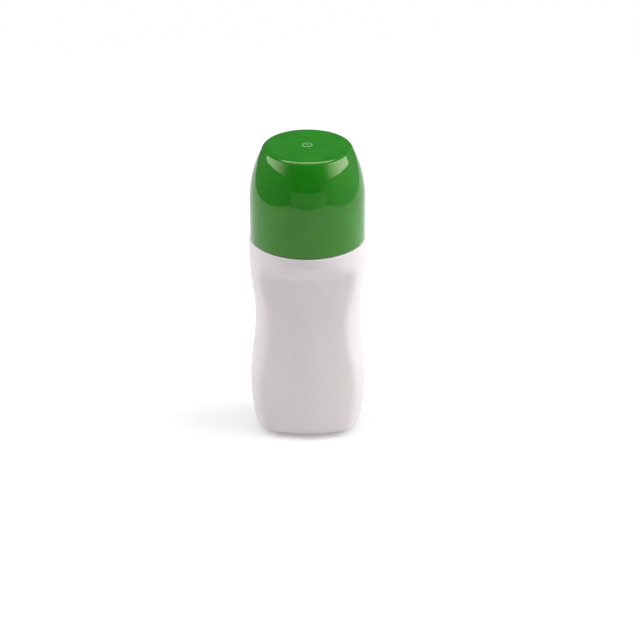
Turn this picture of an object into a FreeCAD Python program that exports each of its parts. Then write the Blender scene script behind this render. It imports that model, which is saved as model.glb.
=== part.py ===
import FreeCAD, Part
import Sketcher
import math
import os

# Roll-on bottle: a waisted bottle with bowed panels, a snapped-in housing that holds the ball,
# and a screw cap with a soft liner. Millimetres, +Z up, origin at the middle of the base.

DRIVING_SIZES = {
    # ball and its housing
    "ball_radius": 15.9,
    "ball_wall": 1.3,
    "socket_clearance": 0.08,
    "socket_wall": 0.95,
    "lip_share": 0.31,
    "lip_width": 1.15,
    "lip_depth": 2.7,
    "lip_round": 0.5,
    "seat_share": 0.69,
    "seat_land": 0.9,
    "groove_share": 0.6,
    "ring_foot_share": 0.29,
    "ring_round": 1.3,
    "groove_rise": 5.2,
    "collar_step": 0.55,
    "collar_height": 2.0,
    "collar_ring": 1.0,
    "dome_share": 0.8,
    "dome_arc": 4.5,
    "flange_gap": 0.2,
    "plug_gap": 0.05,
    "plug_wall": 1.25,
    "plug_length": 4.2,
    "plug_lead": 0.6,
    "bead_height": 1.4,
    "bead_rise": 0.3,
    # cap and liner
    "thread_room": 1.4,
    "cap_wall": 1.4,
    "cap_top_wall": 1.3,
    "cap_rim_gap": 0.25,
    "cap_skirt": 14.0,
    "cap_side_arc": 40.0,
    "cap_top_round": 2.2,
    "cap_edge_round": 0.3,
    "liner_radius": 10.4,
    "liner_thickness": 0.9,
    "liner_gap": 0.1,
    "liner_fit": 0.1,
    "liner_ring_wall": 0.9,
    "liner_ring_height": 1.6,
    # bottle
    "shoulder_overhang": 0.25,
    "shoulder_height": 72.6,
    "shoulder_band": 6.4,
    "shoulder_round": 0.4,
    "waist_depth": 1.85,
    "waist_below_shoulder": 29.6,
    "hip_height": 18.0,
    "foot_inset": 2.2,
    "heel_round": 4.2,
    "bottle_wall": 1.2,
    "mouth_inset": 3.0,
    "mouth_thickness": 1.8,
    "panel_depth": 5.5,
    "panel_bow_radius": 40.0,
    "panel_below_shoulder": 3.4,
    "panel_ledge": 6.4,
    "panel_ledge_round": 4.0,
    "panel_edge_round": 5.0,
    "base_hollow_radius": 9.0,
    "base_hollow_depth": 1.2,
    "stand_height": 0.6,
    "stand_width": 2.8,
    "stand_share": 0.9,
    "stand_draw_in": 0.6,
    # how far a cutting outline runs past what it cuts
    "overrun": 2.0,
}

doc = FreeCAD.newDocument("roll_on_bottle")


class Size:
    """A size in millimetres, or a plain share, kept together with the expression that drives it."""

    def __init__(self, value, text):
        self.value = value
        self.text = text

    def combine(self, other, sign, result):
        return Size(result, "(%s %s %s)" % (self.text, sign, other.text))

    def __add__(self, other):
        other = as_size(other)
        return self.combine(other, "+", self.value + other.value)

    def __sub__(self, other):
        other = as_size(other)
        return self.combine(other, "-", self.value - other.value)

    def __mul__(self, other):
        other = as_size(other)
        return self.combine(other, "*", self.value * other.value)

    def __truediv__(self, other):
        other = as_size(other)
        return self.combine(other, "/", self.value / other.value)

    def __neg__(self):
        return Size(-self.value, "(0 - %s)" % self.text)


def as_size(number):
    """Let a plain count, such as the 2 of a half, stand in a sum of sizes."""
    return number if isinstance(number, Size) else Size(number, repr(number))


def root(square):
    return Size(math.sqrt(square.value), "sqrt(%s)" % square.text)


def make_sheet():
    """Write the driving sizes into the sheet and return them by name."""
    sheet = doc.addObject("Spreadsheet::Sheet", "sizes")
    named = {}
    for row, (name, value) in enumerate(DRIVING_SIZES.items(), start=1):
        sheet.set("A%d" % row, name)
        sheet.set("B%d" % row, str(value))
        sheet.setAlias("B%d" % row, name)
        named[name] = Size(value, "sizes.%s" % name)
    doc.recompute()
    return named


def new_body(label):
    body = doc.addObject("PartDesign::Body", label)
    body.Label = label
    return body


def origin_plane(body, role):
    return next(item for item in body.Origin.OriginFeatures if item.Role == role)


def pin_corner(sketch, curve, end, across, up):
    """Hold one corner at its distance across and up from the sketch's origin."""
    for kind, axis, distance in (("DistanceX", -2, across), ("DistanceY", -1, up)):
        if isinstance(distance, Size):
            bound = sketch.addConstraint(Sketcher.Constraint(kind, -1, 1, curve, end, distance.value))
            sketch.setExpression("Constraints[%d]" % bound, distance.text)
        else:
            sketch.addConstraint(Sketcher.Constraint("PointOnObject", curve, end, axis))


def arc_middle(start, end, radius):
    """The middle of the short arc between two points; it bulges to the right for a positive radius."""
    chord = end - start
    half = chord.Length / 2
    rise = abs(radius) - math.sqrt(radius * radius - half * half)
    right = FreeCAD.Vector(chord.y, -chord.x, 0).normalize()
    return (start + end) / 2 + right * math.copysign(rise, radius)


def draw(body, name, role, corners):
    """Draw a closed outline on an origin plane of the body.

    Each corner is (across, up), or (across, up, radius) when an arc runs from it to the next
    corner, bulging to the right of its way for a positive radius. A 0 lies on the axis.
    """
    sketch = body.newObject("Sketcher::SketchObject", name)
    sketch.AttachmentSupport = (origin_plane(body, role), "")
    sketch.MapMode = "FlatFace"
    points = [FreeCAD.Vector(as_size(corner[0]).value, as_size(corner[1]).value, 0) for corner in corners]
    ends = []
    for index, corner in enumerate(corners):
        start, end = points[index], points[(index + 1) % len(points)]
        if len(corner) == 2:
            curve = sketch.addGeometry(Part.LineSegment(start, end))
            ends.append((curve, 1, 2))
            continue
        radius = corner[2]
        middle = arc_middle(start, end, radius.value)
        if radius.value > 0:
            curve = sketch.addGeometry(Part.Arc(start, middle, end))
            ends.append((curve, 1, 2))
        else:
            curve = sketch.addGeometry(Part.Arc(end, middle, start))
            ends.append((curve, 2, 1))
            radius = -radius
        bound = sketch.addConstraint(Sketcher.Constraint("Radius", curve, radius.value))
        sketch.setExpression("Constraints[%d]" % bound, radius.text)
    for index, (curve, first, last) in enumerate(ends):
        following, following_first, _ = ends[(index + 1) % len(ends)]
        sketch.addConstraint(Sketcher.Constraint("Coincident", curve, last, following, following_first))
        pin_corner(sketch, curve, first, corners[index][0], corners[index][1])
    return sketch


def add_upright(sketch, across, height):
    """Add an upright construction line to a sketch, for an outline to be turned about."""
    foot = FreeCAD.Vector(across.value, 0, 0)
    head = FreeCAD.Vector(across.value, height.value, 0)
    line = sketch.addGeometry(Part.LineSegment(foot, head), True)
    pin_corner(sketch, line, 1, across, 0)
    pin_corner(sketch, line, 2, across, height)


def turn(body, kind, name, corners):
    """Turn an outline about the vertical axis, as a Revolution that adds or a Groove that cuts."""
    sketch = draw(body, name + "_outline", "XZ_Plane", corners)
    feature = body.newObject("PartDesign::" + kind, name)
    feature.Profile = sketch
    feature.ReferenceAxis = (sketch, ["V_Axis"])
    feature.Angle = 360
    doc.recompute()
    return feature


def round_edges(body, name, edges, radius):
    """Round the edges of the body's last feature that the given test picks out."""
    base = body.Tip
    picked = ["Edge%d" % number for number, edge in enumerate(base.Shape.Edges, start=1) if edges(edge)]
    feature = body.newObject("PartDesign::Fillet", name)
    feature.Base = (base, picked)
    feature.setExpression("Radius", radius.text)
    doc.recompute()
    return feature


def same(first, second):
    """True for two lengths that agree to within the modeller's own precision."""
    return math.isclose(first, second, abs_tol=1e-6)


def ring_edge(radius, height):
    """A test for the circular edge of that radius at that height."""
    def test(edge):
        if not isinstance(edge.Curve, Part.Circle):
            return False
        return same(edge.Curve.Radius, radius.value) and same(edge.Curve.Center.z, height.value)
    return test


size = make_sheet()

# Radii that follow from the ball outwards
socket_radius = size["ball_radius"] + size["socket_clearance"]
cup_radius = socket_radius + size["socket_wall"]
bore_radius = cup_radius + size["thread_room"]
cap_radius = bore_radius + size["cap_wall"]
shoulder_radius = cap_radius + size["shoulder_overhang"]
flange_radius = bore_radius - size["flange_gap"]
mouth_radius = shoulder_radius - size["mouth_inset"]

# Heights that follow from the shoulder upwards
shoulder_height = size["shoulder_height"]
groove_drop = size["groove_share"] * cup_radius
ball_height = shoulder_height + size["groove_rise"] + groove_drop
ball_top = ball_height + size["ball_radius"]
liner_bottom = ball_top + size["liner_gap"]
liner_top = liner_bottom + size["liner_thickness"]
cap_top = liner_top + size["cap_top_wall"]
cap_rim = shoulder_height + size["cap_rim_gap"]


def curve_radius(across, along):
    """The radius of an arc that leaves upright and drifts sideways by across over a height of along."""
    return (across * across + along * along) / (across * 2)


def bottle_form(label, inset, foot, corners_above):
    """A waisted turned form with a bowed panel cut into its back and its front."""
    body = new_body(label)
    shoulder = shoulder_radius - inset
    waist = shoulder - size["waist_depth"]
    half_waist = size["waist_depth"] / 2
    band_foot = shoulder_height - size["shoulder_band"]
    waist_height = shoulder_height - size["waist_below_shoulder"]
    neckward = (band_foot - waist_height) / 2
    hipward = (waist_height - size["hip_height"]) / 2
    upper_arc = curve_radius(half_waist, neckward)
    lower_arc = curve_radius(half_waist, hipward)
    hip_arc = curve_radius(size["foot_inset"], size["hip_height"])
    foot_drop = size["hip_height"] - foot
    foot_radius = shoulder - hip_arc + root(hip_arc * hip_arc - foot_drop * foot_drop)
    turn(body, "Revolution", label + "_turned", [
        (0, foot),
        (foot_radius, foot, hip_arc),
        (shoulder, size["hip_height"], lower_arc),
        (waist + half_waist, size["hip_height"] + hipward, -lower_arc),
        (waist, waist_height, -upper_arc),
        (waist + half_waist, waist_height + neckward, upper_arc),
        (shoulder, band_foot),
    ] + corners_above)

    # The panel bows gently about an upright line far behind it and ends in a sloped ledge under the shoulder
    panel = shoulder_radius - size["panel_depth"] - inset
    outside = shoulder_radius + size["overrun"]
    ledge_slope = size["panel_ledge"] / size["panel_depth"]
    ledge_shift = inset * root(ledge_slope * ledge_slope + 1)
    ledge_at_shoulder = shoulder_height - size["panel_below_shoulder"] + ledge_shift
    outline = draw(body, label + "_panel_outline", "YZ_Plane", [
        (panel, -size["overrun"]),
        (outside, -size["overrun"]),
        (outside, ledge_at_shoulder + size["overrun"] * ledge_slope),
        (panel, ledge_at_shoulder - (shoulder_radius - panel) * ledge_slope),
    ])
    bow_centre = shoulder_radius - size["panel_depth"] - size["panel_bow_radius"]
    add_upright(outline, bow_centre, shoulder_height)
    groove = body.newObject("PartDesign::Groove", label + "_panel")
    groove.Profile = outline
    groove.ReferenceAxis = (outline, ["Axis0"])
    groove.Angle = 90
    groove.Midplane = True
    doc.recompute()
    mirrored = body.newObject("PartDesign::Mirrored", label + "_panels")
    mirrored.Originals = [groove]
    mirrored.MirrorPlane = (origin_plane(body, "XZ_Plane"), [""])
    body.Tip = mirrored
    doc.recompute()
    return body


def ends_panel(edge):
    """True for the arcs where a panel meets its ledge, which lie level above the base."""
    arc = isinstance(edge.Curve, Part.Circle) and same(edge.Curve.Radius, size["panel_bow_radius"].value)
    return arc and edge.BoundBox.ZMin > size["heel_round"].value


def lies_on_base(edge):
    base = size["stand_height"].value
    return same(edge.BoundBox.ZMin, base) and same(edge.BoundBox.ZMax, base)


def panel_borders(shape):
    """The edges where a panel and its ledge, both turned about a line off the axis, meet the sides."""
    edges = []
    for face in shape.Faces:
        centre = getattr(face.Surface, "Center", None)
        if centre is not None and not same(centre.y, 0):
            edges += face.Edges
    codes = [edge.hashCode() for edge in edges]
    return [edge.hashCode() for edge in edges if codes.count(edge.hashCode()) == 1 and not lies_on_base(edge)]


def add_stands(body):
    """Four low kite-shaped feet under the base, so that the pinch line across it can't rock the bottle."""
    flat_half = shoulder_radius - size["panel_depth"] - size["heel_round"]
    tip = flat_half * size["stand_share"]
    side = tip - size["stand_draw_in"]
    heel = tip - size["stand_width"]
    kite = [(heel, heel), (side, heel), (tip, tip), (heel, side)]
    rows = {"back": kite, "front": [(across, -deep) for across, deep in kite]}
    for row, corners in rows.items():
        outline = draw(body, row + "_stand_outline", "XY_Plane", corners)
        stand = body.newObject("PartDesign::Pad", row + "_stand")
        stand.Profile = outline
        stand.setExpression("Length", (size["stand_height"] + size["bottle_wall"] / 2).text)
        doc.recompute()
        pair = body.newObject("PartDesign::Mirrored", row + "_stands")
        pair.Originals = [stand]
        pair.MirrorPlane = (origin_plane(body, "YZ_Plane"), [""])
        body.Tip = pair
        doc.recompute()


def make_bottle():
    """The bottle: a rounded outer form, hollowed by a plainer core with the mouth on top."""
    floor = size["stand_height"]
    outer = bottle_form("bottle_outer", as_size(0), floor, [
        (shoulder_radius, shoulder_height),
        (0, shoulder_height),
    ])
    round_edges(outer, "panel_ledge_rounding", ends_panel, size["panel_ledge_round"])
    borders = panel_borders(outer.Tip.Shape)
    round_edges(outer, "panel_edge_rounding", lambda edge: edge.hashCode() in borders, size["panel_edge_round"])
    round_edges(outer, "heel_rounding", lies_on_base, size["heel_round"])
    round_edges(outer, "shoulder_rounding", ring_edge(shoulder_radius, shoulder_height), size["shoulder_round"])
    hollow_arc = curve_radius(size["base_hollow_depth"], size["base_hollow_radius"])
    turn(outer, "Groove", "base_hollow", [
        (0, -size["overrun"]),
        (size["base_hollow_radius"], -size["overrun"]),
        (size["base_hollow_radius"], floor, hollow_arc),
        (0, floor + size["base_hollow_depth"]),
    ])
    add_stands(outer)
    core_radius = shoulder_radius - size["bottle_wall"]
    core_top = shoulder_height - size["mouth_thickness"]
    core_foot = floor + size["base_hollow_depth"] + size["bottle_wall"]
    core = bottle_form("bottle_core", size["bottle_wall"], core_foot, [
        (core_radius, core_top),
        (mouth_radius, core_top),
        (mouth_radius, shoulder_height + size["overrun"]),
        (0, shoulder_height + size["overrun"]),
    ])
    bottle = doc.addObject("Part::Cut", "bottle_body")
    bottle.Base = outer
    bottle.Tool = core
    return bottle


def make_housing():
    """The housing: a plug with a snap bead, a flange on the ledge, the undercut cup and the lip."""
    body = new_body("ball_housing")
    plug_radius = mouth_radius - size["plug_gap"]
    plug_bore = plug_radius - size["plug_wall"]
    plug_foot = shoulder_height - size["plug_length"]
    bead_top = shoulder_height - size["mouth_thickness"] - size["plug_gap"]
    bead_foot = bead_top - size["bead_height"]
    bead_arc = curve_radius(size["bead_rise"], size["bead_height"] / 2)
    collar_radius = flange_radius - size["collar_step"]
    collar_foot = shoulder_height + size["collar_height"]
    groove_height = shoulder_height + size["groove_rise"]
    groove_radius = root(cup_radius * cup_radius - groove_drop * groove_drop)
    dome_foot = collar_foot + size["collar_ring"]
    dome_height = dome_foot + (groove_height - dome_foot) * size["dome_share"]
    dome_radius = collar_radius - (collar_radius - groove_radius) * size["dome_share"]
    ring_foot = ball_height - size["ring_foot_share"] * cup_radius
    cup_foot = ring_foot - size["ring_round"]
    cup_foot_drop = ball_height - cup_foot
    cup_foot_radius = root(cup_radius * cup_radius - cup_foot_drop * cup_foot_drop)
    ring_arc = curve_radius(cup_radius - cup_foot_radius, size["ring_round"])
    lip_rise = size["lip_share"] * socket_radius
    lip_height = ball_height + lip_rise
    lip_bore = root(socket_radius * socket_radius - lip_rise * lip_rise)
    lip_radius = lip_bore + size["lip_width"]
    seat_drop = size["seat_share"] * socket_radius
    seat_height = ball_height - seat_drop
    seat_radius = root(socket_radius * socket_radius - seat_drop * seat_drop)
    turn(body, "Revolution", "housing_turned", [
        (plug_bore, plug_foot),
        (plug_radius - size["plug_lead"], plug_foot),
        (plug_radius, plug_foot + size["plug_lead"]),
        (plug_radius, bead_foot, bead_arc),
        (plug_radius, bead_top),
        (plug_radius, shoulder_height),
        (flange_radius, shoulder_height),
        (flange_radius, collar_foot),
        (collar_radius, collar_foot),
        (collar_radius, dome_foot, size["dome_arc"]),
        (dome_radius, dome_height),
        (groove_radius, groove_height, cup_radius),
        (cup_foot_radius, cup_foot, ring_arc),
        (cup_radius, ring_foot),
        (cup_radius, lip_height - size["lip_depth"]),
        (lip_radius, lip_height - size["lip_depth"] + (cup_radius - lip_radius)),
        (lip_radius, lip_height - size["lip_round"], size["lip_round"]),
        (lip_radius - size["lip_round"], lip_height),
        (lip_bore, lip_height, -socket_radius),
        (socket_radius, ball_height, -socket_radius),
        (seat_radius, seat_height),
        (seat_radius, seat_height - size["seat_land"]),
        (plug_bore, collar_foot),
    ])
    return body


def make_ball():
    """The hollow ball."""
    body = new_body("roller_ball")
    outside = size["ball_radius"]
    inside = outside - size["ball_wall"]
    turn(body, "Revolution", "ball_turned", [
        (0, ball_height - outside, outside),
        (outside, ball_height, outside),
        (0, ball_height + outside),
        (0, ball_height + inside, -inside),
        (inside, ball_height, -inside),
        (0, ball_height - inside),
    ])
    return body


def make_cap():
    """The cap: a straight skirt that curves in to a flat top, with a ring inside for the liner."""
    body = new_body("cap")
    skirt_top = cap_rim + size["cap_skirt"]
    side_arc = size["cap_side_arc"]
    inner_arc = side_arc - size["cap_wall"]
    outer_rise = cap_top - skirt_top
    inner_rise = liner_top - skirt_top
    top_radius = cap_radius - side_arc + root(side_arc * side_arc - outer_rise * outer_rise)
    ceiling_radius = bore_radius - inner_arc + root(inner_arc * inner_arc - inner_rise * inner_rise)
    ring_bore = size["liner_radius"] + size["liner_fit"]
    ring_radius = ring_bore + size["liner_ring_wall"]
    ring_foot = liner_top - size["liner_ring_height"]
    turn(body, "Revolution", "cap_turned", [
        (bore_radius, cap_rim),
        (cap_radius, cap_rim),
        (cap_radius, skirt_top, side_arc),
        (top_radius, cap_top),
        (0, cap_top),
        (0, liner_top),
        (ring_bore, liner_top),
        (ring_bore, ring_foot),
        (ring_radius, ring_foot),
        (ring_radius, liner_top),
        (ceiling_radius, liner_top, -inner_arc),
        (bore_radius, skirt_top),
    ])
    round_edges(body, "cap_top_rounding", ring_edge(top_radius, cap_top), size["cap_top_round"])
    round_edges(body, "cap_edge_rounding", ring_edge(cap_radius, cap_rim), size["cap_edge_round"])
    return body


def make_liner():
    """The soft disc in the cap that presses the ball on its seat."""
    body = new_body("cap_liner")
    turn(body, "Revolution", "liner_turned", [
        (0, liner_bottom),
        (size["liner_radius"], liner_bottom),
        (size["liner_radius"], liner_top),
        (0, liner_top),
    ])
    return body


pieces = [make_bottle(), make_housing(), make_ball(), make_cap(), make_liner()]
doc.recompute()

# Nothing is written unless every object came out whole
for item in doc.Objects:
    if {"Invalid", "Error"} & set(item.State):
        raise RuntimeError("%s failed: %s" % (item.Name, item.State))
for piece in pieces:
    if piece.Shape.isNull() or not piece.Shape.isValid() or len(piece.Shape.Solids) != 1:
        raise RuntimeError("%s is not one valid solid" % piece.Label)

os.makedirs("parts", exist_ok=True)
for piece in pieces:
    piece.Shape.exportStep("parts/%s.step" % piece.Label)
    box = piece.Shape.BoundBox
    print("%s: %.1f x %.1f x %.1f mm, z %.2f to %.2f, volume %.1f mm3" % (
        piece.Label, box.XLength, box.YLength, box.ZLength, box.ZMin, box.ZMax, piece.Shape.Volume))
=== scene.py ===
# %% [markdown]
# # Dressing a roll-on bottle
# The frame brings five solid pieces that already have their true sizes: the bottle, the housing that
# holds the ball, the ball, the cap and the soft liner inside the cap. This lesson adds what a mould
# leaves on such pieces, such as threads, a gate mark and parting lines. Then it gives every piece its
# plastic and sets up a small photo table. Everything is in metres, and the bottle's axis is Z.

# %% Load the frame
import math

import bpy
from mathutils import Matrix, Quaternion, Vector


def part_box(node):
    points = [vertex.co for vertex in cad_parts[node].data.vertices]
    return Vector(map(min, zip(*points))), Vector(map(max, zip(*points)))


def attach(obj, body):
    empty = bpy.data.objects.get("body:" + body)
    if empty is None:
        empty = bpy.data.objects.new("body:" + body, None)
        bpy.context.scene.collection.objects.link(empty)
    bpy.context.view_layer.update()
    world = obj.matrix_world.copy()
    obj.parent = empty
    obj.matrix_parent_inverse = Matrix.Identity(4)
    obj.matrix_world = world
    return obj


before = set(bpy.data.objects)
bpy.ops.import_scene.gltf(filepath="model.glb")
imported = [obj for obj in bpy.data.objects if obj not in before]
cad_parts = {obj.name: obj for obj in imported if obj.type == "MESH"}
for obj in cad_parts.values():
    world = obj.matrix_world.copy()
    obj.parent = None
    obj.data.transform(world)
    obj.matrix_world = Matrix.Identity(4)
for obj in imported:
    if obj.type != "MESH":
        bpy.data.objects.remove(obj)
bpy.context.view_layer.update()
MM = 0.001
FULL_TURN = 2 * math.pi

for label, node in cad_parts.items():
    low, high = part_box(label)
    sides = [round(side / MM, 2) for side in high - low]
    print("%s: %d faces, %s mm" % (label, len(node.data.polygons), sides))

# %% [markdown]
# ## Working by hand, in code
# Blender's operators act on whatever is selected, and a freshly loaded frame is selected as a whole.
# So the first helpers clear the selection or take one piece in hand. Another picks points or faces by
# a test on their place. A test is a small function that says yes or no, much like pointing at a spot.

# %% Selecting helpers
def nothing_selected():
    """Leave edit mode and clear the selection, so that the next tool touches only what is new."""
    if bpy.context.object and bpy.context.object.mode != "OBJECT":
        bpy.ops.object.mode_set(mode="OBJECT")
    bpy.ops.object.select_all(action="DESELECT")


def take_in_hand(piece):
    """Make this piece the only one selected, and the active one."""
    nothing_selected()
    piece.select_set(True)
    bpy.context.view_layer.objects.active = piece


def work_on(piece):
    """Open this piece in edit mode with nothing picked."""
    take_in_hand(piece)
    bpy.ops.object.mode_set(mode="EDIT")
    bpy.ops.mesh.select_all(action="DESELECT")


def pick(piece, kind, test):
    """Select the points or faces that pass the test."""
    bpy.ops.mesh.select_mode(type={"vertices": "VERT", "polygons": "FACE"}[kind])
    bpy.ops.mesh.select_all(action="DESELECT")
    bpy.ops.object.mode_set(mode="OBJECT")
    for part in getattr(piece.data, kind):
        part.select = test(part)
    bpy.ops.object.mode_set(mode="EDIT")


# %% [markdown]
# ## Starting and finishing a piece
# Every piece here goes the same way. An operator adds a simple shape, which gets its name. Modifiers
# are applied one by one. At the end the piece's place goes into its mesh, doubled points are merged,
# the faces are turned outwards, and the piece is told which body of the frame it moves with.

# %% Piece helpers
MERGE_DISTANCE = 1e-7


def name_piece(name):
    """Name the object that an operator has just added, and return it."""
    piece = bpy.context.object
    piece.name = piece.data.name = name
    return piece


def apply_modifier(piece, kind, **settings):
    """Add a modifier with these settings and make its result the piece's own mesh."""
    take_in_hand(piece)
    modifier = piece.modifiers.new(kind.lower(), kind)
    for setting, value in settings.items():
        setattr(modifier, setting, value)
    bpy.ops.object.modifier_apply(modifier=modifier.name)


def settle_piece(piece, body, smooth_angle=40):
    """Bring the piece's place into its mesh, shade it, and let it move with its body."""
    take_in_hand(piece)
    bpy.ops.object.transform_apply(location=True, rotation=True, scale=True)
    bpy.ops.object.mode_set(mode="EDIT")
    bpy.ops.mesh.select_all(action="SELECT")
    bpy.ops.mesh.remove_doubles(threshold=MERGE_DISTANCE)
    bpy.ops.mesh.normals_make_consistent(inside=False)
    bpy.ops.object.mode_set(mode="OBJECT")
    bpy.ops.object.shade_smooth_by_angle(angle=math.radians(smooth_angle))
    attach(piece, body)
    heights = [vertex.co.z / MM for vertex in piece.data.vertices]
    print("%s: %d faces, z %.2f to %.2f mm, rides on %s" % (
        piece.name, len(piece.data.polygons), min(heights), max(heights), body))


# %% [markdown]
# ## The neck thread
# A real thread on a plastic neck is a rounded rib that climbs round the wall and fades out at both
# ends. It could be a curve with a bevel, but a Screw modifier shows better what a thread is: one
# small section, turned and lifted at the same time. The ends are then shrunk into the wall, ring by
# ring, as the mould maker's cutter lifts out of the steel.

# %% Wind a thread
THREAD_PITCH = 3.3 * MM
STEPS_PER_TURN = 96
SECTION_POINTS = 20
RUN_OUT = 0.11
TIP_SIZE = 0.12
TIP_FULLNESS = 0.7


def wind_rib(name, wall_radius, rise, half_height, foot, turns):
    """A small ellipse on the wall, turned and lifted by a Screw modifier."""
    nothing_selected()
    bpy.ops.mesh.primitive_circle_add(vertices=SECTION_POINTS, radius=1, rotation=(math.pi / 2, 0, 0))
    rib = name_piece(name)
    bpy.ops.object.transform_apply(location=True, rotation=True, scale=True)
    bpy.ops.object.mode_set(mode="EDIT")
    bpy.ops.mesh.select_all(action="SELECT")
    bpy.ops.transform.resize(value=(rise, 1, half_height), center_override=(0, 0, 0))
    bpy.ops.transform.translate(value=(wall_radius, 0, foot))
    bpy.ops.object.mode_set(mode="OBJECT")
    steps = round(turns * STEPS_PER_TURN)
    apply_modifier(rib, "SCREW", axis="Z", angle=turns * FULL_TURN, screw_offset=turns * THREAD_PITCH,
                   steps=steps, render_steps=steps)
    return rib


def fade_rib_ends(rib, foot, turns, sink_radius):
    """Shrink the rings near both ends towards a line inside the wall, and close the ends."""
    def turned(vertex):
        """How many turns from the start of the thread this point lies."""
        share = math.atan2(vertex.co.y, vertex.co.x) / FULL_TURN
        return share + round((vertex.co.z - foot) / THREAD_PITCH - share)

    work_on(rib)
    ring_share = 1 / STEPS_PER_TURN
    for ring in range(round(RUN_OUT * STEPS_PER_TURN)):
        fade = math.sin(ring * ring_share / RUN_OUT * math.pi / 2) ** TIP_FULLNESS
        size = TIP_SIZE + (1 - TIP_SIZE) * fade
        for place in (ring * ring_share, turns - ring * ring_share):
            pick(rib, "vertices", lambda vertex: abs(turned(vertex) - place) < ring_share / 2)
            around = place * FULL_TURN
            height = foot + place * THREAD_PITCH
            middle = (sink_radius * math.cos(around), sink_radius * math.sin(around), height)
            bpy.ops.transform.resize(value=(size, size, size), center_override=middle)
    bpy.ops.mesh.select_all(action="SELECT")
    bpy.ops.mesh.fill_holes(sides=0)
    bpy.ops.object.mode_set(mode="OBJECT")


# %% The thread on the housing
RING_RADIUS = 16.93 * MM
NECK_THREAD_FOOT = 84.0 * MM
NECK_THREAD_TURNS = 1.6
NECK_RIB_SINK = 0.35 * MM

neck_thread = wind_rib("neck_thread", wall_radius=RING_RADIUS, rise=0.9 * MM, half_height=1.0 * MM,
                       foot=NECK_THREAD_FOOT, turns=NECK_THREAD_TURNS)
fade_rib_ends(neck_thread, NECK_THREAD_FOOT, NECK_THREAD_TURNS, RING_RADIUS - NECK_RIB_SINK)
settle_piece(neck_thread, "bottle")

# %% [markdown]
# ## The thread inside the cap
# It is the same rib on the wall of the bore, half a pitch lower, so that at rest each rib lies in
# the other's gap. The cap's joint turns by two whole turns, after which the ribs nest again.

# %% The thread in the cap
BORE_RADIUS = 18.33 * MM
CAP_THREAD_FOOT = NECK_THREAD_FOOT - THREAD_PITCH / 2
CAP_THREAD_TURNS = 1.5
CAP_RIB_SINK = 0.3 * MM

cap_thread = wind_rib("cap_thread", wall_radius=BORE_RADIUS, rise=0.8 * MM, half_height=0.8 * MM,
                      foot=CAP_THREAD_FOOT, turns=CAP_THREAD_TURNS)
fade_rib_ends(cap_thread, CAP_THREAD_FOOT, CAP_THREAD_TURNS, BORE_RADIUS + CAP_RIB_SINK)
settle_piece(cap_thread, "cap")

# %% [markdown]
# ## The gate mark on the cap
# Molten plastic enters the cap's mould at the middle of the top. What stays there is a low ring with
# a small torn pip in its middle. It starts as a disc. Each step then insets the top face and lifts or
# sinks it, so that a round ring, a dish and a round pip grow inward from the rim.

# %% The gate mark
cap_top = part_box("cap")[1].z
GATE_RADIUS = 1.95 * MM
GATE_SINK = 0.06 * MM
GATE_STEP = 0.07 * MM

# Pairs of inset and lift, in millimetres
RING_ROUND = [(0.06, 0.10), (0.12, 0.10), (0.16, 0.05), (0.12, 0),
              (0.16, -0.05), (0.12, -0.10), (0.06, -0.12)]
DISH = [(0.40, -0.02), (0.08, 0.02)]
PIP_ROUND = [(0.08, 0.16), (0.14, 0.16), (0.18, 0.09), (0.12, 0)]

nothing_selected()
bpy.ops.mesh.primitive_circle_add(vertices=72, radius=GATE_RADIUS, fill_type="NGON",
                                  location=(0, 0, cap_top - GATE_SINK))
gate_mark = name_piece("gate_mark")
bpy.ops.object.transform_apply(location=True, rotation=True, scale=True)
bpy.ops.object.mode_set(mode="EDIT")
bpy.ops.mesh.select_all(action="SELECT")
bpy.ops.mesh.extrude_region_move(TRANSFORM_OT_translate={"value": (0, 0, GATE_STEP)})
for inset, lift in RING_ROUND + DISH + PIP_ROUND:
    bpy.ops.mesh.inset(thickness=inset * MM, depth=0)
    bpy.ops.transform.translate(value=(0, 0, lift * MM))
bpy.ops.object.mode_set(mode="OBJECT")
settle_piece(gate_mark, "cap", smooth_angle=60)

# %% [markdown]
# ## The parting lines of the bottle
# A blown bottle comes out of two mould halves, and a hair-thin ridge is left where they meet, up both
# narrow sides. The ridge has to follow the waisted wall exactly. So it is cut from a copy of the
# bottle itself: two cuts leave a thin ribbon, a third marks its middle, which is lifted, and a wall
# closes it.

# %% Copy the bottle
nothing_selected()
parting_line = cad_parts["bottle_body"].copy()
parting_line.data = parting_line.data.copy()
bpy.context.scene.collection.objects.link(parting_line)
parting_line.parent = None
for label in list(parting_line.keys()):
    del parting_line[label]
parting_line.name = parting_line.data.name = "parting_line"
print("parting_line starts with %d faces" % len(parting_line.data.polygons))

# %% Cut and lift the ribbon
SEAM_HALF_WIDTH = 0.16 * MM
SEAM_RISE = 0.07 * MM
SEAM_WALL = 0.12 * MM
MIDDLE_WIDTH = 0.01 * MM
LEAST_OUTWARD = 0.25


def inner_or_level(face):
    """True for the ribbon's faces on the inside of the wall, on the base and on the shoulder's top."""
    outward = face.normal.x * math.copysign(1, face.center.x)
    return outward < LEAST_OUTWARD


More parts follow.
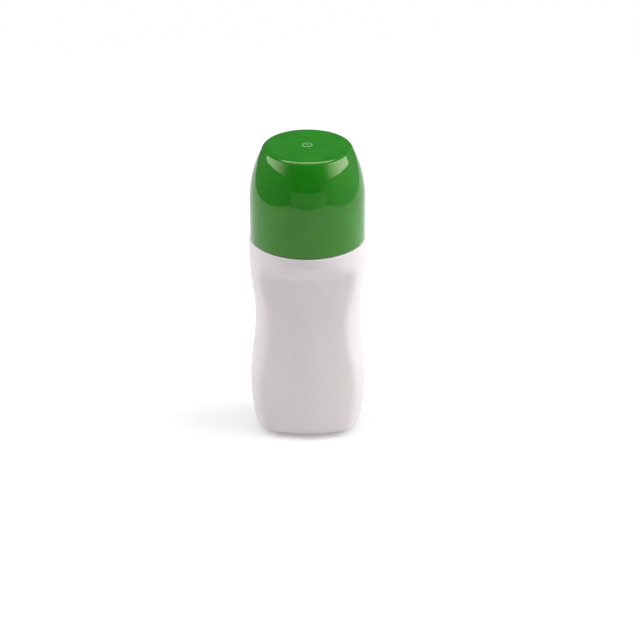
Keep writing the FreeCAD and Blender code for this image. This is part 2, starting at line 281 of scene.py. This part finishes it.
work_on(parting_line)
bpy.ops.mesh.select_all(action="SELECT")
bpy.ops.mesh.remove_doubles(threshold=MERGE_DISTANCE)
for side in (1, -1):
    bpy.ops.mesh.select_all(action="SELECT")
    bpy.ops.mesh.bisect(plane_co=(0, side * SEAM_HALF_WIDTH, 0), plane_no=(0, side, 0), clear_outer=True)
bpy.ops.mesh.select_all(action="SELECT")
bpy.ops.mesh.bisect(plane_co=(0, 0, 0), plane_no=(0, 1, 0))
pick(parting_line, "polygons", inner_or_level)
bpy.ops.mesh.delete(type="FACE")
pick(parting_line, "vertices", lambda vertex: abs(vertex.co.y) < MIDDLE_WIDTH)
bpy.ops.transform.shrink_fatten(value=SEAM_RISE)
bpy.ops.object.mode_set(mode="OBJECT")
apply_modifier(parting_line, "SOLIDIFY", thickness=SEAM_WALL, offset=-1)
settle_piece(parting_line, "bottle", smooth_angle=60)

# %% [markdown]
# ## The pinch line under the base
# The same mould halves pinch the soft tube shut under the bottle and weld it there. The weld is a
# short ridge across the hollow of the base. It starts as a strip below the bottle, which a Shrinkwrap
# presses up against the hollow, and then it gets its thickness.

# %% The pinch line
PINCH_LENGTH = 13.0 * MM
PINCH_WIDTH = 0.7 * MM
PINCH_THICKNESS = 0.5 * MM
PINCH_ROUND = 0.12 * MM
BELOW_BASE = -2 * MM

nothing_selected()
bpy.ops.mesh.primitive_grid_add(x_subdivisions=40, y_subdivisions=4, size=1, location=(0, 0, BELOW_BASE))
pinch_line = name_piece("pinch_line")
bpy.ops.object.mode_set(mode="EDIT")
bpy.ops.mesh.select_all(action="SELECT")
bpy.ops.transform.resize(value=(PINCH_LENGTH, PINCH_WIDTH, 1), center_override=(0, 0, 0))
bpy.ops.object.mode_set(mode="OBJECT")
bpy.ops.object.transform_apply(location=True, rotation=True, scale=True)
apply_modifier(pinch_line, "SHRINKWRAP", target=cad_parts["bottle_body"], wrap_method="PROJECT",
               use_project_z=True, use_positive_direction=True, use_negative_direction=False)
apply_modifier(pinch_line, "SOLIDIFY", thickness=PINCH_THICKNESS, offset=0)
apply_modifier(pinch_line, "BEVEL", width=PINCH_ROUND, segments=2, limit_method="ANGLE")
settle_piece(pinch_line, "bottle")

# %% [markdown]
# ## Skin shared by all the plastics
# No moulded plastic is one flat colour. The melt flows in soft clouds, and the mould's steel leaves a
# fine grain. Both are wanted in every plastic here, at different sizes, so they are built once as a
# node group with named inputs. Each material then decides what to do with the two masks.

# %% The group of clouds and grain
SKIN_MASKS = (("Clouds", "Clouds per metre", 3.0), ("Grain", "Grains per metre", 2.0))


def build_moulded_skin():
    """A node group that turns a place into two masks, each from a noise of its own scale."""
    skin = bpy.data.node_groups.new("moulded_skin", "ShaderNodeTree")
    sockets = skin.interface
    sockets.new_socket("Place", in_out="INPUT", socket_type="NodeSocketVector")
    for mask, scale, detail in SKIN_MASKS:
        sockets.new_socket(scale, in_out="INPUT", socket_type="NodeSocketFloat")
        sockets.new_socket(mask, in_out="OUTPUT", socket_type="NodeSocketFloat")
    entry = skin.nodes.new("NodeGroupInput")
    leave = skin.nodes.new("NodeGroupOutput")
    for mask, scale, detail in SKIN_MASKS:
        noise = skin.nodes.new("ShaderNodeTexNoise")
        noise.inputs["Detail"].default_value = detail
        skin.links.new(entry.outputs["Place"], noise.inputs["Vector"])
        skin.links.new(entry.outputs[scale], noise.inputs["Scale"])
        skin.links.new(noise.outputs["Fac"], leave.inputs[mask])
    return skin


moulded_skin = build_moulded_skin()
print("moulded_skin:", [item.name for item in moulded_skin.interface.items_tree])

# %% [markdown]
# ## A bench for nodes
# Materials, the room and even a lamp are trees of nodes. A small class keeps that work readable: it
# holds one tree, adds nodes to it, links sockets and does sums.

# %% The bench
class NodeBench:
    """One node tree, with tools that add nodes to it and hand back their outputs."""

    def __init__(self, tree):
        self.tree = tree

    def add(self, kind):
        return self.tree.nodes.new(kind)

    def link(self, source, target):
        self.tree.links.new(source, target)

    def feed(self, socket, value):
        """Link another node's output to the socket, or set a plain value on it."""
        if isinstance(value, bpy.types.NodeSocket):
            self.link(value, socket)
        else:
            socket.default_value = value

    def calc(self, operation, *values):
        """One Math node on these values."""
        node = self.add("ShaderNodeMath")
        node.operation = operation
        for socket, value in zip(node.inputs, values):
            self.feed(socket, value)
        return node.outputs["Value"]

    def span(self, value, low, high, to_low, to_high, smooth=False):
        """Map a value from one span to another, held at the ends."""
        node = self.add("ShaderNodeMapRange")
        node.interpolation_type = "SMOOTHSTEP" if smooth else "LINEAR"
        ends = {"From Min": low, "From Max": high, "To Min": to_low, "To Max": to_high}
        for socket, number in ends.items():
            node.inputs[socket].default_value = number
        self.link(value, node.inputs["Value"])
        return node.outputs["Result"]

    def split(self, vector):
        """The three outputs X, Y and Z of a vector."""
        node = self.add("ShaderNodeSeparateXYZ")
        self.link(vector, node.inputs["Vector"])
        return node.outputs


# %% [markdown]
# ## Building a plastic
# Every plastic starts with the shared skin, which tints the colour, varies the gloss and feeds the
# bump. The rest are measures that a maker would use: a height, a distance from the axis, a soft band.

# %% A plastic to start from
CLOUD_SPAN = (0.3, 0.7)


class Plastic(NodeBench):
    """A Principled material with the moulded skin in its colour and its roughness."""

    def __init__(self, name, shade, tint, roughness, clouds, grains, stretch=(1, 1, 1)):
        self.material = bpy.data.materials.new(name)
        self.material.use_nodes = True
        super().__init__(self.material.node_tree)
        self.shader = self.tree.nodes["Principled BSDF"]
        self.place = self.add("ShaderNodeTexCoord").outputs["Object"]
        mapping = self.add("ShaderNodeMapping")
        mapping.inputs["Scale"].default_value = stretch
        self.link(self.place, mapping.inputs["Vector"])
        skin = self.add("ShaderNodeGroup")
        skin.node_tree = moulded_skin
        skin.inputs["Clouds per metre"].default_value = clouds
        skin.inputs["Grains per metre"].default_value = grains
        self.link(mapping.outputs["Vector"], skin.inputs["Place"])
        self.clouds, self.grain = skin.outputs["Clouds"], skin.outputs["Grain"]
        self.paint(self.span(self.clouds, *CLOUD_SPAN, 0, 1), (*shade, 1), (*tint, 1))
        self.link(self.span(self.clouds, *CLOUD_SPAN, *roughness), self.shader.inputs["Roughness"])

    def paint(self, share, first, second):
        """Mix two colours by a share, and make the result the plastic's colour."""
        mix = self.add("ShaderNodeMix")
        mix.data_type = "RGBA"
        for socket, value in (("Factor", share), ("A", first), ("B", second)):
            self.feed(mix.inputs[socket], value)
        self.colour = mix.outputs["Result"]
        self.link(self.colour, self.shader.inputs["Base Color"])

    def along(self, axis):
        """The place along one axis, in metres."""
        return self.split(self.place)[axis]

    def from_axis(self):
        """The distance from the bottle's axis, in metres."""
        across, deep = self.along("X"), self.along("Y")
        squares = self.calc("ADD", self.calc("MULTIPLY", across, across), self.calc("MULTIPLY", deep, deep))
        return self.calc("SQRT", squares)

    def band(self, value, middle, half_width):
        """1 in the middle of a soft band, and 0 outside it."""
        away = self.calc("ABSOLUTE", self.calc("SUBTRACT", value, middle))
        return self.span(away, 0, half_width, 1, 0, smooth=True)

    def bump(self, heights, distance):
        """Add up the heights, each with its own weight, and turn them into a bump."""
        total = None
        for height, weight in heights:
            part = self.calc("MULTIPLY", height, weight)
            total = part if total is None else self.calc("ADD", total, part)
        node = self.add("ShaderNodeBump")
        node.inputs["Distance"].default_value = distance
        self.link(total, node.inputs["Height"])
        self.link(node.outputs["Normal"], self.shader.inputs["Normal"])

    def set(self, **values):
        """Set plain values on the shader's own sockets."""
        for socket, value in values.items():
            self.shader.inputs[socket.replace("_", " ")].default_value = value


# %% [markdown]
# ## White polyethylene for the bottle
# The bottle is blown from white polyethylene: satin, a little waxy, and slightly see-through, so light
# spreads inside it before it comes out. The clouds are stretched along the bottle, the way the soft
# tube was pulled. Its white is very slightly rosy.

# %% The bottle's plastic
WAXY_RADIUS = (1.0, 0.9, 0.85)

bottle_white = Plastic("white_blown_polyethylene", shade=(0.80, 0.745, 0.76), tint=(0.84, 0.785, 0.80),
                       roughness=(0.36, 0.44), clouds=90, grains=2600, stretch=(1, 1, 0.35))
bottle_white.bump([(bottle_white.grain, 0.5), (bottle_white.clouds, 1.0)], 0.04 * MM)
bottle_white.set(IOR=1.5, Subsurface_Weight=0.12, Subsurface_Radius=WAXY_RADIUS, Subsurface_Scale=1.6 * MM)

# %% [markdown]
# ## White for the housing
# The housing is moulded, not blown, so its skin is finer and a little glossier than the bottle's.

# %% The housing's plastic
housing_white = Plastic("white_moulded_polyethylene", shade=(0.81, 0.765, 0.775), tint=(0.85, 0.805, 0.815),
                        roughness=(0.28, 0.36), clouds=140, grains=3800)
housing_white.bump([(housing_white.grain, 0.4), (housing_white.clouds, 0.8)], 0.03 * MM)
housing_white.set(IOR=1.5, Subsurface_Weight=0.12, Subsurface_Radius=WAXY_RADIUS, Subsurface_Scale=1.4 * MM)

# %% [markdown]
# ## Green polypropylene for the cap
# The cap's colour runs through the plastic, and its mould was polished, so it mirrors the studio. The
# liner's ring and the thread are on the inside of the wall, and over such ribs the plastic shrinks a
# little more. The bump shows that as faint sink marks: a ring on the top and lines round the side.

# %% The cap's plastic
cap_green = Plastic("green_polypropylene", shade=(0.011, 0.19, 0.006), tint=(0.015, 0.22, 0.009),
                    roughness=(0.03, 0.055), clouds=120, grains=1500)
cap_green.set(IOR=1.57, Specular_Tint=(0.95, 1.0, 0.65, 1))
cap_radius = cap_green.from_axis()
cap_height = cap_green.along("Z")

# %% Marks on the cap's top
LINER_RING_MIDDLE = 10.95 * MM
LINER_RING_HALF_WIDTH = 0.9 * MM
FLOW_RING_ANGLE = 5200  # radians for each metre, which gives a ring every 1.2 mm
TOP_FADE_START = 0.4 * MM
TOP_FADE_END = 0.1 * MM

on_top = cap_green.span(cap_height, cap_top - TOP_FADE_START, cap_top - TOP_FADE_END, 0, 1)
liner_band = cap_green.band(cap_radius, LINER_RING_MIDDLE, LINER_RING_HALF_WIDTH)
top_sink = cap_green.calc("MULTIPLY", liner_band, on_top)
flow_wave = cap_green.calc("SINE", cap_green.calc("MULTIPLY", cap_radius, FLOW_RING_ANGLE))
flow_rings = cap_green.calc("MULTIPLY", flow_wave, on_top)

# %% The thread's mark on the cap's side
# The mark climbs with the thread: one soft groove for every pitch
THREAD_MARK_HALF_HEIGHT = 3.4 * MM
HALF_PITCH = 0.5
GROOVE_START = 0.2

around = cap_green.add("ShaderNodeTexGradient")
around.gradient_type = "RADIAL"
cap_green.link(cap_green.place, around.inputs["Vector"])
climb = cap_green.calc("DIVIDE", cap_green.calc("SUBTRACT", cap_height, NECK_THREAD_FOOT), THREAD_PITCH)
in_pitch = cap_green.calc("PINGPONG", cap_green.calc("SUBTRACT", climb, around.outputs["Fac"]), HALF_PITCH)
near_thread = cap_green.band(cap_height, NECK_THREAD_FOOT, THREAD_MARK_HALF_HEIGHT)
groove = cap_green.span(in_pitch, GROOVE_START, HALF_PITCH, 0, 1, smooth=True)
side_sink = cap_green.calc("MULTIPLY", groove, near_thread)
cap_green.bump([(cap_green.grain, 0.018), (cap_green.clouds, 0.35), (top_sink, -0.5), (flow_rings, 0.012),
                (side_sink, -0.07)], 0.1 * MM)

# %% [markdown]
# ## The gate mark's green, with a painted highlight and painted shade
# A darker green than the cap's is painted shade in the mark's dish. Two soft masks, read from the
# distance to the axis, paint a paler green highlight on the ring and on the pip and leave the dish dark.

# %% The gate mark's plastic
RING_CREST = GATE_RADIUS - 0.36 * MM
RING_HALF_WIDTH = 0.5 * MM
PIP_RADIUS = 0.55 * MM
# The paler green is a painted highlight on the ring and the pip
PAINTED_HIGHLIGHT_GREEN = (0.15, 0.46, 0.16, 1)

# The mark's own green is darker than the cap's, as painted shade in the dish
gate_green = Plastic("green_gate_painted_highlight_and_shade", shade=(0.008, 0.15, 0.006), tint=(0.012, 0.18, 0.009),
                     roughness=(0.2, 0.3), clouds=400, grains=4000)
gate_radius = gate_green.from_axis()
ring_painted_highlight = gate_green.band(gate_radius, RING_CREST, RING_HALF_WIDTH)
pip_painted_highlight = gate_green.band(gate_radius, 0, PIP_RADIUS)
# Paint the highlight: the paler green goes on the ring's crest and on the pip
gate_green.paint(gate_green.calc("MAXIMUM", ring_painted_highlight, pip_painted_highlight), gate_green.colour, PAINTED_HIGHLIGHT_GREEN)
gate_green.bump([(gate_green.grain, 0.3), (gate_green.clouds, 0.4)], 0.03 * MM)
gate_green.set(IOR=1.5)

# %% [markdown]
# ## The ball
# The ball is pressed from creamy polypropylene and tumbled smooth. Two half shells are welded
# together, so a hair line runs round it. That line also lets the eye see that the ball has rolled.

# %% The ball's plastic
WELD_ABOVE_MIDDLE = 3.2 * MM
WELD_HALF_WIDTH = 0.12 * MM

ball_low, ball_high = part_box("roller_ball")
ball_middle = (ball_low + ball_high) / 2
ball_cream = Plastic("cream_polypropylene", shade=(0.73, 0.665, 0.605), tint=(0.78, 0.715, 0.655),
                     roughness=(0.2, 0.26), clouds=160, grains=2400)
weld_line = ball_cream.band(ball_cream.along("Z"), ball_middle.z + WELD_ABOVE_MIDDLE, WELD_HALF_WIDTH)
ball_cream.bump([(ball_cream.grain, 0.1), (ball_cream.clouds, 0.3), (weld_line, -0.6)], 0.05 * MM)
ball_cream.set(IOR=1.5, Subsurface_Weight=0.2, Subsurface_Radius=(1.0, 0.85, 0.7), Subsurface_Scale=2.0 * MM)

# %% [markdown]
# ## The foam liner
# The liner is a disc of closed-cell foam, soft and dull. Voronoi cells give the size of its bubbles.

# %% The liner's foam
BUBBLES_PER_METRE = 2400

liner_foam = Plastic("white_foam", shade=(0.74, 0.74, 0.72), tint=(0.80, 0.80, 0.78),
                     roughness=(0.7, 0.85), clouds=300, grains=5000)
cells = liner_foam.add("ShaderNodeTexVoronoi")
cells.inputs["Scale"].default_value = BUBBLES_PER_METRE
liner_foam.link(liner_foam.place, cells.inputs["Vector"])
liner_foam.bump([(cells.outputs["Distance"], 1.0), (liner_foam.grain, 0.4)], 0.12 * MM)

# %% [markdown]
# ## Dressing the pieces
# The frame's own pieces keep their shape and only get a plastic. What was added is moulded in one with
# the piece that carries it, so it gets the same plastic. The torn gate mark alone has its own.

# %% Put the plastics on the pieces
FINISHES = {
    "bottle_body": bottle_white, "parting_line": bottle_white, "pinch_line": bottle_white,
    "ball_housing": housing_white, "neck_thread": housing_white,
    "cap": cap_green, "cap_thread": cap_green, "gate_mark": gate_green,
    "roller_ball": ball_cream, "cap_liner": liner_foam,
}
for label, finish in FINISHES.items():
    piece = bpy.data.objects[label]
    piece.data.materials.clear()
    piece.data.materials.append(finish.material)
    print("%s wears %s" % (label, finish.material.name))

# %% [markdown]
# ## The room
# The middle of the cap's gloss is dark, and its sides are lighter. So the room behind the camera is
# dark, its side walls glow weakly, the right one more, and there is a little light from behind. The
# camera itself sees the room as white paper.

# %% The glow of the side walls
WALL_SPAN = (0.25, 0.95)
LEFT_WALL_GLOW = 0.20
RIGHT_WALL_GLOW = 0.45


def side_walls(bench, sideways):
    """The light of the two side walls; sideways runs from -1, left, to 1, right."""
    near, far = WALL_SPAN
    left = bench.span(sideways, -near, -far, 0, LEFT_WALL_GLOW, smooth=True)
    right = bench.span(sideways, near, far, 0, RIGHT_WALL_GLOW, smooth=True)
    return bench.calc("ADD", left, right)


def mix_shaders(bench, share, first, second):
    """The first shader where the share is 0, and the second where it is 1."""
    mix = bench.add("ShaderNodeMixShader")
    for socket, value in zip(mix.inputs, (share, first, second)):
        bench.feed(socket, value)
    return mix.outputs["Shader"]


# %% The room
WHITE = (1, 1, 1, 1)
BACK_SPAN = (-0.5, 0.9)
DARK_ROOM = 0.03
BACK_GLOW = 0.14

world = bpy.data.worlds.new("studio")
bpy.context.scene.world = world
world.use_nodes = True
room = NodeBench(world.node_tree)
room.tree.nodes.clear()


def backdrop(strength):
    """White light from all round, of this strength."""
    node = room.add("ShaderNodeBackground")
    node.inputs["Color"].default_value = WHITE
    room.feed(node.inputs["Strength"], strength)
    return node.outputs["Background"]


way = room.split(room.add("ShaderNodeTexCoord").outputs["Generated"])
behind = room.span(way["Y"], *BACK_SPAN, DARK_ROOM, BACK_GLOW)
dim_room = backdrop(room.calc("ADD", behind, side_walls(room, way["X"])))
ray = room.add("ShaderNodeLightPath").outputs
seen = room.calc("MAXIMUM", ray["Is Camera Ray"], ray["Is Transmission Ray"])
shown = mix_shaders(room, seen, dim_room, backdrop(1.0))
room.link(shown, room.add("ShaderNodeOutputWorld").inputs["Surface"])
print("room: glow %.2f on the left and %.2f on the right" % (LEFT_WALL_GLOW, RIGHT_WALL_GLOW))

# %% [markdown]
# ## The table
# The bottle stands on a plain white table. The lamps light it like any paint, which gives the bottle
# its soft shadow. A camera would be set so that the lit paint just comes out white, and the plain glow
# that is added for the camera does the same. In the cap's gloss the white ends at the table's straight
# edges, and past them the gloss sees the dim room.

# %% The table
FLOOR_SIZE = 8.0
TABLE_PAINT = (0.73, 0.73, 0.73, 1)

nothing_selected()
bpy.ops.mesh.primitive_plane_add(size=FLOOR_SIZE)
table = name_piece("table")

paint = bpy.data.materials.new("white_table_paint")
paint.use_nodes = True
table.data.materials.append(paint)
coat = NodeBench(paint.node_tree)
coat.tree.nodes.clear()
matt_node = coat.add("ShaderNodeBsdfDiffuse")
matt_node.inputs["Color"].default_value = TABLE_PAINT
matt = matt_node.outputs["BSDF"]
print("table: %.1f m across" % FLOOR_SIZE)

# %% Places on the table
TABLE_REACH = 0.42
TABLE_HALF_WIDTH = 0.33
FADE_START = 0.12
FADE_LENGTH = 1 / 3

place = coat.add("ShaderNodeTexCoord").outputs["Object"]
distance = coat.add("ShaderNodeVectorMath")
distance.operation = "LENGTH"
coat.link(place, distance.inputs[0])
away = distance.outputs["Value"]
spot = coat.split(place)
far_share = coat.span(away, FADE_START, FADE_START + FADE_LENGTH, 0, 1)
across = coat.calc("DIVIDE", coat.calc("ABSOLUTE", spot["X"]), TABLE_HALF_WIDTH)
deep = coat.calc("DIVIDE", coat.calc("ABSOLUTE", spot["Y"]), TABLE_REACH)
on_table = coat.calc("LESS_THAN", coat.calc("MAXIMUM", across, deep), 1.0)
print("table in the gloss: %.2f by %.2f m" % (2 * TABLE_HALF_WIDTH, 2 * TABLE_REACH))

# %% What the camera and the gloss see of the table
PAINT_GLOW = 0.28


def glow(strength):
    """A plain white glow of this strength."""
    node = coat.add("ShaderNodeEmission")
    coat.feed(node.inputs["Strength"], strength)
    return node.outputs["Emission"]


ray = coat.add("ShaderNodeLightPath").outputs
glossy_on_table = coat.calc("MULTIPLY", ray["Is Glossy Ray"], on_table)
glossy_past_edge = coat.calc("SUBTRACT", ray["Is Glossy Ray"], glossy_on_table)
seen = coat.calc("MAXIMUM", ray["Is Camera Ray"], glossy_on_table)
seen = coat.calc("MAXIMUM", seen, ray["Is Transmission Ray"])
lit_paint = coat.add("ShaderNodeAddShader")
coat.link(matt, lit_paint.inputs[0])
coat.link(glow(PAINT_GLOW), lit_paint.inputs[1])
shown = mix_shaders(coat, far_share, lit_paint.outputs["Shader"], glow(1.0))
surface = mix_shaders(coat, seen, matt, shown)
sideways = coat.calc("DIVIDE", spot["X"], away)
dim_ground = glow(coat.calc("ADD", side_walls(coat, sideways), DARK_ROOM))
surface = mix_shaders(coat, glossy_past_edge, surface, dim_ground)
coat.link(surface, coat.add("ShaderNodeOutputMaterial").inputs["Surface"])
print("table paint: %d nodes" % len(coat.tree.nodes))

# %% [markdown]
# ## The lamps
# The gloss of the cap tells how such a shot is lit. A long soft box stands on each side, tilted a little
# and fading towards the camera, and the right one is stronger. One hangs straight above and draws the
# thin line on the cap's rim, a weak one is high in front, and low in front stands a pale card.

# %% A soft box that fades
FADING_SHARE = 0.65


def fade_one_end(lamp, side):
    """Let a soft box fade out towards one end, as its cloth does away from the bulb."""
    lamp.use_nodes = True
    bench = NodeBench(lamp.node_tree)
    spot = bench.split(bench.add("ShaderNodeNewGeometry").outputs["Parametric"])
    dark_end = 1.0 if side > 0 else 0.0
    fading = bench.span(spot["X"], dark_end, dark_end - side * FADING_SHARE, 0, 1, smooth=True)
    bench.link(fading, bench.tree.nodes["Emission"].inputs["Strength"])


# %% The lamps
LAMP_TARGET = Vector((0, 0, 0.06))

# Place, width, height, watts, roll in degrees, and the end that fades
SOFT_BOXES = {
    "soft_box_left": ((-0.68, -0.10, 0.383), 1.10, 0.26, 3.2, 9, 1),
    "soft_box_right": ((0.665, -0.16, 0.389), 1.10, 0.32, 5.1, -7, -1),
    "soft_box_front": ((0.0, -0.58, 0.80), 2.1, 0.20, 1.0, 0, 0),
    "soft_box_above": ((0.0, 0.02, 0.95), 1.25, 0.46, 7.6, 0, 0),
    "pale_card": ((0.018, -0.43, 0.06), 0.58, 0.13, 0.095, 0, 0),
}
for label, (place, wide, tall, watts, roll, fade) in SOFT_BOXES.items():
    nothing_selected()
    bpy.ops.object.light_add(type="AREA", location=place)
    lamp = name_piece(label)
    lamp.data.shape = "RECTANGLE"
    lamp.data.size, lamp.data.size_y = wide, tall
    lamp.data.energy = watts
    aim = (LAMP_TARGET - Vector(place)).to_track_quat("-Z", "Y")
    lamp.rotation_euler = (aim @ Quaternion((0, 0, 1), math.radians(roll))).to_euler()
    if fade:
        fade_one_end(lamp.data, fade)
    print("%s: %.2f W" % (label, watts))

# %% [markdown]
# ## The camera
# The place comes from fitting the cap's and the base's outlines in the photograph: a long lens, three
# quarters of a metre in front of the bottle, looking 27 degrees down.

# %% The camera
CAMERA_PLACE = (0.00429, -0.7490, 0.4195)
CAMERA_TILT = 63.13
LENS = 135
SENSOR_WIDTH = 36

nothing_selected()
bpy.ops.object.camera_add(location=CAMERA_PLACE, rotation=(math.radians(CAMERA_TILT), 0, 0))
camera = bpy.context.object
camera.data.lens = LENS
camera.data.sensor_width = SENSOR_WIDTH
bpy.context.scene.camera = camera
bpy.context.scene.view_settings.view_transform = "Standard"
print("camera: %d mm lens at %s" % (LENS, CAMERA_PLACE))
